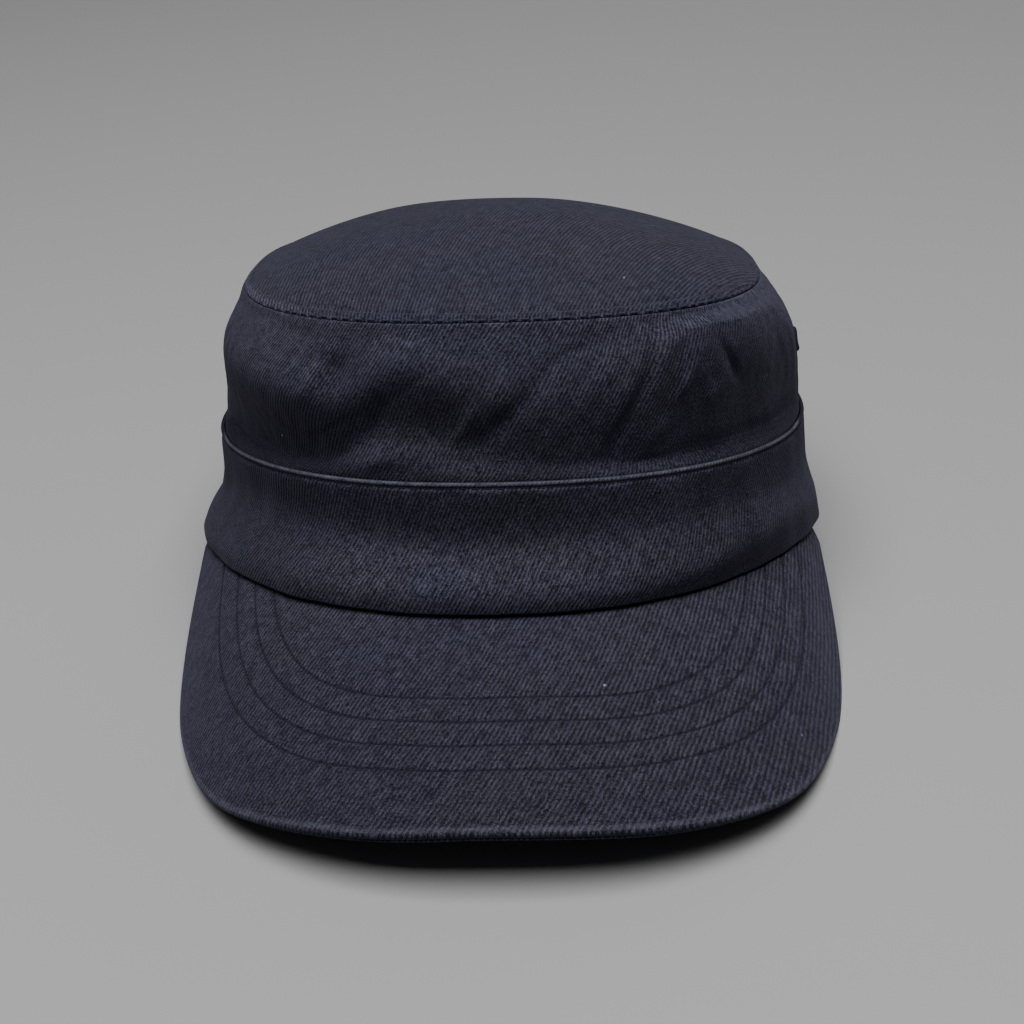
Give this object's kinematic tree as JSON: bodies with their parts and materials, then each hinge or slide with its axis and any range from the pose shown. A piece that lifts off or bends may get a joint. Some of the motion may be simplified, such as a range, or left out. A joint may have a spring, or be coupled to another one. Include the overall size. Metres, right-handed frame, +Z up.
{
  "type": "patrol cap",
  "caption": "Soft patrol cap with an oval top panel, upright crown wall, deep folded band and curved stitched peak, leaning back at rest.",
  "frame": {"origin": "on the surface the cap rests on, under the middle of its bounding box", "axes": "+Z up, -Y towards the free edge of the peak, +X towards the wearer's left"},
  "size_m": [0.1784, 0.2747, 0.1119],
  "materials": {
    "band_twill": "matte cotton twill, very dark navy, washed",
    "crown_twill": "matte cotton twill, very dark navy, washed",
    "eyelet_thread": "close wrapped thread, near black",
    "peak_twill": "matte cotton twill, very dark navy, washed",
    "peak_underside_twill": "matte cotton twill, very dark navy",
    "top_twill": "matte cotton twill, very dark navy, washed"
  },
  "bodies": {
    "root": {"band": "band_twill", "crown_side": "crown_twill", "eyelet_left": "eyelet_thread", "eyelet_right": "eyelet_thread", "peak_cover": "peak_twill", "peak_underside": "peak_underside_twill", "top_panel": "top_twill"}
  },
  "joints": []
}
